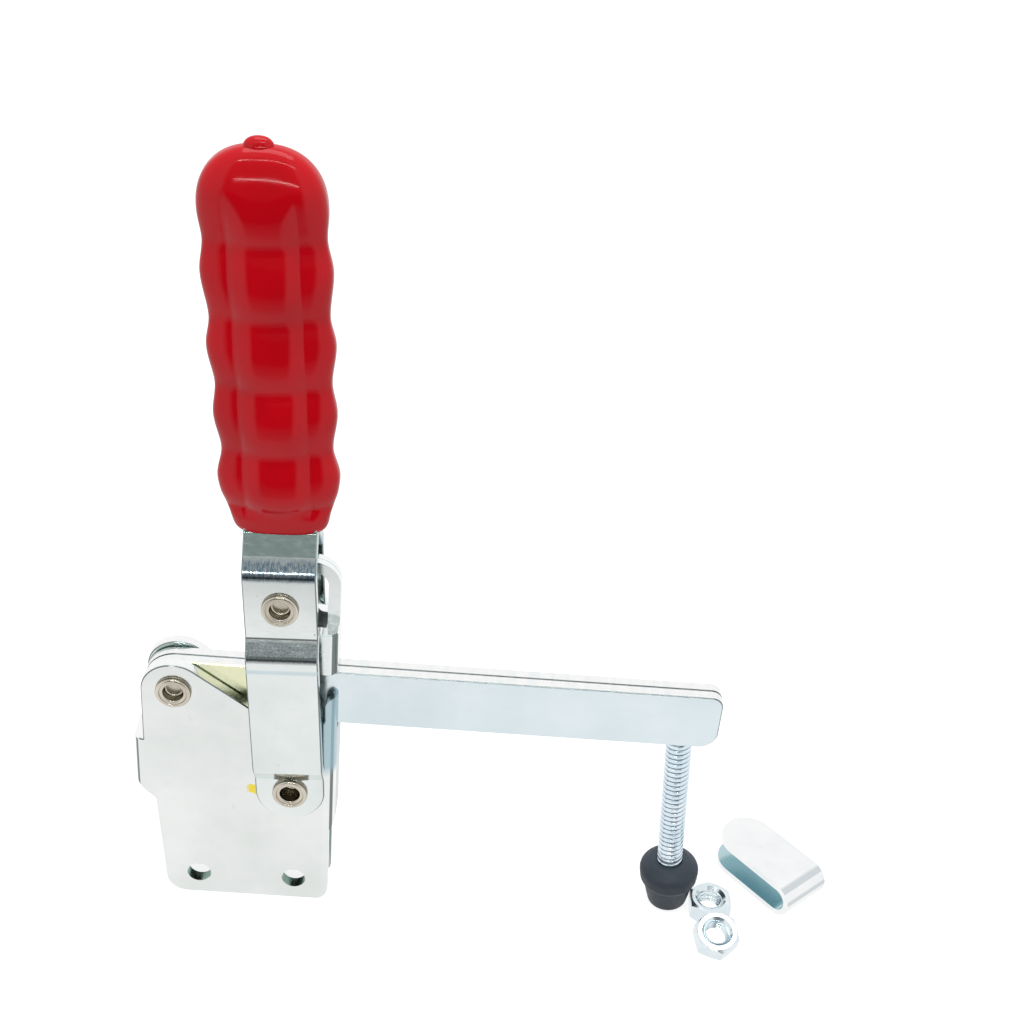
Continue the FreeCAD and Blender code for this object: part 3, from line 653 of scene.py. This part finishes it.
def grip_skin():
    """Dipped grip with five lobes, a rounded crown and the turned-in lip."""
    rises = [LIP_RISE + RING_STEP * index for index in range(int(CROWN_START / RING_STEP))]
    rises += [CROWN_START + (GRIP_LENGTH - CROWN_START) * math.sin(math.pi / 2 * index / CROWN_RINGS)
              for index in range(CROWN_RINGS)]
    rings = [[(x, y, rise) for x, y in grip_ring(LIP_RISE, inset)] for rise, inset in LIP_INSETS]
    rings += [[(x, y, rise) for x, y in grip_ring(rise)] for rise in rises]
    vertices = [on_handle(x, y, GRIP_START + rise) for ring in rings for x, y, rise in ring]
    top = len(vertices)
    vertices.append(on_handle(-GRIP_SET_BACK, 0, GRIP_START + GRIP_LENGTH))
    vertices.append(on_handle(0, 0, GRIP_START + LIP_INSETS[0][0]))
    faces = ring_faces(len(rings), GRIP_AROUND)
    faces += fan(top - GRIP_AROUND, GRIP_AROUND, top)
    faces += fan(0, GRIP_AROUND, top + 1, flipped=True)
    return mesh_object("grip_skin", vertices, faces)


def grip_nub():
    """Low drip nub on the crown, its foot sunk a little into the crown."""
    vertices = []
    for step in range(NUB_RINGS):
        share = 1 - step / NUB_RINGS
        swell = (1 - share ** NUB_SWELL_POWERS[0]) ** NUB_SWELL_POWERS[1]
        for index in range(NUB_AROUND):
            angle = 2 * math.pi * index / NUB_AROUND
            x = -GRIP_SET_BACK + NUB_RADIUS * share * math.cos(angle)
            y = NUB_SQUASH * NUB_RADIUS * share * math.sin(angle)
            rise = crown_rise(x, y) + NUB_HEIGHT * swell - NUB_SINK * share ** NUB_SINK_POWER
            vertices.append(on_handle(x, y, GRIP_START + rise))
    top = len(vertices)
    vertices.append(on_handle(-GRIP_SET_BACK, 0, GRIP_START + GRIP_LENGTH + NUB_HEIGHT))
    faces = ring_faces(NUB_RINGS, NUB_AROUND) + fan(top - NUB_AROUND, NUB_AROUND, top)
    return mesh_object("grip_nub", vertices, faces)


def thread_radius(turns, root, crest):
    """Radius of a thread at a number of turns along it: wide crests and narrow roots."""
    return root + (crest - root) * clamped(abs(2 * (turns % 1.0) - 1), *THREAD_FLANK)


def thread_surface(low, high, root, crest, pitch, end_radius=None):
    """Vertices, faces and rings of a thread between two heights; an end radius tapers its ends."""
    steps = int((high - low) / pitch * STEPS_PER_PITCH)
    vertices = []
    for step in range(steps + 1):
        z = low + (high - low) * step / steps
        for index in range(THREAD_AROUND):
            radius = thread_radius(z / pitch - index / THREAD_AROUND, root, crest)
            if end_radius is not None:
                radius = min(radius, end_radius + min(z - low, high - z) * THREAD_END_TAPER)
            angle = 2 * math.pi * index / THREAD_AROUND
            vertices.append((radius * math.cos(angle) * MM, radius * math.sin(angle) * MM, z * MM))
    return vertices, ring_faces(steps + 1, THREAD_AROUND), steps + 1


def leaning(piece):
    """Stand a piece that is built upright where the spindle leans."""
    turn = Matrix.Rotation(SPINDLE_LEAN, 4, Vector((0, -1, 0)))
    place = Vector((SPINDLE_FOOT[0], SPINDLE_FOOT[1], SPINDLE_LIFT)) * MM
    piece.data.transform(Matrix.Translation(place) @ turn)
    return piece


def spindle_thread():
    """Threaded spindle: helical shank with closed ends over its hexagon head."""
    low = HEAD_BASE + HEAD_HEIGHT - THREAD_SINK
    root = THREAD_RADIUS - THREAD_DEPTH
    vertices, faces, rings = thread_surface(low, SPINDLE_TOP, root, THREAD_RADIUS, THREAD_PITCH,
                                            THREAD_END_RADIUS)
    start = len(vertices)
    vertices += [(0.0, 0.0, SPINDLE_TOP * MM), (0.0, 0.0, low * MM)]
    faces += fan((rings - 1) * THREAD_AROUND, THREAD_AROUND, start)
    faces += fan(0, THREAD_AROUND, start + 1, flipped=True)
    start = len(vertices)
    corner = HEAD_WIDTH / math.sqrt(3)
    vertices += circle(corner, HEAD_BASE, 6) + circle(corner, HEAD_BASE + HEAD_HEIGHT, 6)
    faces += ring_faces(2, 6, start)
    faces.append(tuple(start + index for index in reversed(range(6))))
    faces.append(tuple(start + 6 + index for index in range(6)))
    return leaning(mesh_object("spindle_thread", vertices, faces, smooth=False))


def rounded(corners):
    """Profile points with each corner replaced by a short curve, by the third number of the corner."""
    points = [corners[0][:2]]
    for before, corner, after in zip(corners, corners[1:], corners[2:]):
        if corner[2] == 0:
            points.append(corner[:2])
            continue
        middle = Vector(corner[:2])
        start, end = (middle + (Vector(near[:2]) - middle).normalized() * corner[2]
                      for near in (before, after))
        for step in range(ROUNDING_STEPS + 1):
            t = step / ROUNDING_STEPS
            points.append(tuple(start * (1 - t) ** 2 + middle * 2 * t * (1 - t) + end * t ** 2))
    return points + [corners[-1][:2]]


def cap_skin():
    """Turned rubber cap: tapered foot, shoulder, sloped collar and the chamber round the head."""
    profile = rounded(CAP_PROFILE)
    vertices = [(0.0, 0.0, 0.0)]
    for radius, height in profile[1:-1]:
        vertices += circle(radius, height, CAP_AROUND)
    last = len(vertices)
    vertices.append((0.0, 0.0, profile[-1][1] * MM))
    faces = fan(1, CAP_AROUND, 0, flipped=True)
    faces += ring_faces(len(profile) - 2, CAP_AROUND, 1)
    faces += fan(last - CAP_AROUND, CAP_AROUND, last)
    return leaning(mesh_object("cap_skin", vertices, faces))


def nut_thread(name, place, tilt):
    """Internal thread lining a nut's bore."""
    vertices, faces = thread_surface(*NUT_THREAD_HEIGHTS, *NUT_THREAD_RADII, NUT_PITCH)[:2]
    faces = [tuple(reversed(face)) for face in faces]
    piece = mesh_object(name, vertices, faces, smooth=False)
    turn = Matrix.Rotation(tilt, 4, "X")
    piece.data.transform(Matrix.Translation(Vector(place) * MM) @ turn)
    return piece


# Stage
def seen_by(tree, *kinds):
    """1 for rays of any of these kinds."""
    path = tree.nodes.new("ShaderNodeLightPath")
    value = path.outputs[kinds[0]]
    for kind in kinds[1:]:
        value = math_node(tree, "MAXIMUM", value, path.outputs[kind])
    return value


def stage_material():
    """White floor: white to the camera with a faint shadow, dimmed in mirrors in front of the clamp."""
    material = new_material("stage_white")
    tree = material.node_tree
    x, y = split(tree, place_in(tree)[0])[:2]
    near = remap(tree, y, *FLOOR_NEAR)
    far = remap(tree, y, *FLOOR_FAR)
    ahead = math_node(tree, "MAXIMUM", times(tree, y, -1.0), FLOOR_LEAST_AHEAD)
    beside = math_node(tree, "DIVIDE", math_node(tree, "SUBTRACT", x, GRIP_MIDDLE), ahead)
    dimmed = math_node(tree, "SUBTRACT", 1.0, times(tree, near, far))
    dimmed = times(tree, dimmed, within(tree, beside, *FLOOR_SIDES))
    reflected = math_node(tree, "SUBTRACT", 1.0, dimmed)
    camera_glow = times(tree, seen_by(tree, "Is Camera Ray"), FLOOR_GLOW)
    mirror_glow = times(tree, seen_by(tree, *MIRROR_RAYS), reflected)
    glow = add(tree, "ShaderNodeEmission")
    link(tree, math_node(tree, "MAXIMUM", camera_glow, mirror_glow), glow.inputs["Strength"])
    diffuse = add(tree, "ShaderNodeBsdfDiffuse")
    grey = mix_colour(tree, seen_by(tree, *MIRROR_RAYS), FLOOR_GREY, BLACK)
    link(tree, grey, diffuse.inputs["Color"])
    both = add(tree, "ShaderNodeAddShader")
    output = add(tree, "ShaderNodeOutputMaterial")
    link(tree, glow.outputs[0], both.inputs[0])
    link(tree, diffuse.outputs[0], both.inputs[1])
    link(tree, both.outputs[0], output.inputs["Surface"])
    return material


def stage():
    bpy.ops.mesh.primitive_plane_add(size=FLOOR_SIZE, location=(0, 0, -FLOOR_DROP))
    floor = bpy.context.object
    floor.name = "floor"
    floor.data.materials.append(stage_material())


def front_ramp(tree, height):
    """Grey of the studio in front of the clamp, by the height of the direction looked in."""
    ramp = tree.nodes.new("ShaderNodeValToRGB")
    elements = ramp.color_ramp.elements
    elements.remove(elements[1])
    for index, (level, grey) in enumerate(FRONT_GREYS):
        place = (level + 1) / 2
        element = elements.new(place) if index else elements[0]
        element.position = place
        element.color = (grey * 0.94, grey, grey, 1.0)
    link(tree, remap(tree, height, -1.0, 1.0, 0.0, 1.0), ramp.inputs["Fac"])
    return ramp.outputs["Color"]


def world():
    """Studio: white to the camera, dark in mirrors on the camera's side, brightest overhead as light."""
    scene = bpy.context.scene
    scene.world = bpy.data.worlds.new("world")
    scene.world.use_nodes = True
    tree = scene.world.node_tree
    tree.nodes.clear()
    coordinates = tree.nodes.new("ShaderNodeTexCoord")
    x, y, z = split(tree, coordinates.outputs["Generated"])
    depth = math_node(tree, "MAXIMUM", times(tree, y, -1.0), SKY_LEAST_AHEAD)
    beside = math_node(tree, "DIVIDE", x, depth)
    front = times(tree, remap(tree, y, *SKY_AHEAD), within(tree, beside, *SKY_SIDES))
    mirrored = mix_colour(tree, front, WHITE, front_ramp(tree, z))
    lit = mix_colour(tree, remap(tree, z, *SKY_LIGHT), BLACK, WHITE)
    colour = mix_colour(tree, seen_by(tree, *MIRROR_RAYS), lit, mirrored)
    colour = mix_colour(tree, seen_by(tree, "Is Camera Ray"), colour, WHITE)
    background = tree.nodes.new("ShaderNodeBackground")
    link(tree, colour, background.inputs["Color"])
    output = tree.nodes.new("ShaderNodeOutputWorld")
    link(tree, background.outputs[0], output.inputs["Surface"])


def area_light(name, place, target, size, watts):
    data = bpy.data.lights.new(name, "AREA")
    data.shape = "RECTANGLE"
    data.size, data.size_y = size
    data.energy = watts
    lamp = bpy.data.objects.new(name, data)
    bpy.context.scene.collection.objects.link(lamp)
    lamp.location = place
    lamp.rotation_euler = (Vector(target) - Vector(place)).to_track_quat("-Z", "Y").to_euler()


def camera():
    """Camera at the photograph's place, turned by yaw, pitch and roll."""
    data = bpy.data.cameras.new("camera")
    data.sensor_fit = "HORIZONTAL"
    data.sensor_width = SENSOR
    data.lens = FOCAL_PIXELS / PICTURE_PIXELS * SENSOR
    data.clip_start = 0.01
    lens = bpy.data.objects.new("camera", data)
    bpy.context.scene.collection.objects.link(lens)
    cos_pitch, sin_pitch = math.cos(CAMERA_PITCH), math.sin(CAMERA_PITCH)
    forward = Vector((math.sin(CAMERA_YAW) * cos_pitch, math.cos(CAMERA_YAW) * cos_pitch, -sin_pitch))
    right = Vector((math.cos(CAMERA_YAW), -math.sin(CAMERA_YAW), 0.0))
    up = right.cross(forward)
    cos_roll, sin_roll = math.cos(CAMERA_ROLL), math.sin(CAMERA_ROLL)
    turned_right = right * cos_roll + up * sin_roll
    turned_up = up * cos_roll - right * sin_roll
    turn = Matrix((turned_right, turned_up, -forward)).transposed().to_4x4()
    lens.matrix_world = Matrix.Translation(Vector(CAMERA_PLACE) * MM) @ turn
    bpy.context.scene.camera = lens


def place_piece(piece, body, finish):
    piece.data.materials.append(finish)
    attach(piece, body)


def dress(frame):
    """Give every CAD node its finish, and add the pieces that are made here."""
    base = zinc_plate("zinc_base", (0.87, 0.89, 0.875), (0.78, 0.81, 0.79), (0.93, 0.94, 0.93), 0.20, 4.85,
                      (0.62, 0.79), base_marks)
    arm = zinc_plate("zinc_arm", (0.77, 0.85, 0.88), (0.70, 0.79, 0.82), (0.93, 0.93, 0.92), 0.18, 0.02,
                     marks=arm_marks)
    handle = zinc_plate("zinc_handle", (0.84, 0.88, 0.87), (0.73, 0.79, 0.77), (0.92, 0.94, 0.94), 0.13, 9.6,
                        (0.55, 0.755), handle_marks)
    link_finish = zinc_plate("zinc_link", (0.86, 0.90, 0.89), (0.76, 0.82, 0.81), (0.93, 0.95, 0.95), 0.18,
                             0.05)
    nickel = rivet_nickel()
    bright = bright_steel("bright_steel", (0.80, 0.87, 0.90), (0.70, 0.79, 0.83), 0.18)
    threaded = bright_steel("threaded_steel", (0.78, 0.88, 0.95), (0.68, 0.80, 0.89), 0.20, thread_shade)
    plated = bright_steel("bright_retainer", (0.93, 0.94, 0.94), (0.86, 0.88, 0.90), 0.18, retainer_shade)
    red = red_vinyl()
    rubber = black_rubber()
    finishes = {
        "base_near_plate": base, "base_far_plate": base, "front_spacer": base, "link_spacer": base,
        "link": link_finish, "handle_near_plate": handle, "handle_far_plate": handle,
        "arm_near_bar": arm, "arm_far_bar": arm, "bolt_retainer": plated,
        "spindle": bright, "spindle_nut_1": bright, "spindle_nut_2": bright,
        "handle_grip": red, "spindle_cap": rubber}
    for name, node in frame["nodes"].items():
        node.data.materials.clear()
        node.data.materials.append(finishes.get(name, nickel))

    skin = grip_skin()
    place_piece(skin, "handle", red)
    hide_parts("handle_grip")
    place_piece(grip_nub(), "handle", red)
    thread = spindle_thread()
    place_piece(thread, "base", threaded)
    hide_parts("spindle")
    cap = cap_skin()
    place_piece(cap, "base", rubber)
    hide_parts("spindle_cap")
    place_piece(nut_thread("nut_1_thread", FLAT_NUT, 0.0), "base", bright)
    place_piece(nut_thread("nut_2_thread", LEANING_NUT, NUT_TILT), "base", bright)


def main():
    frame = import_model()
    dress(frame)
    stage()
    world()
    for lamp in LAMPS:
        area_light(*lamp)
    camera()
    bpy.context.scene.view_settings.view_transform = "Standard"


main()
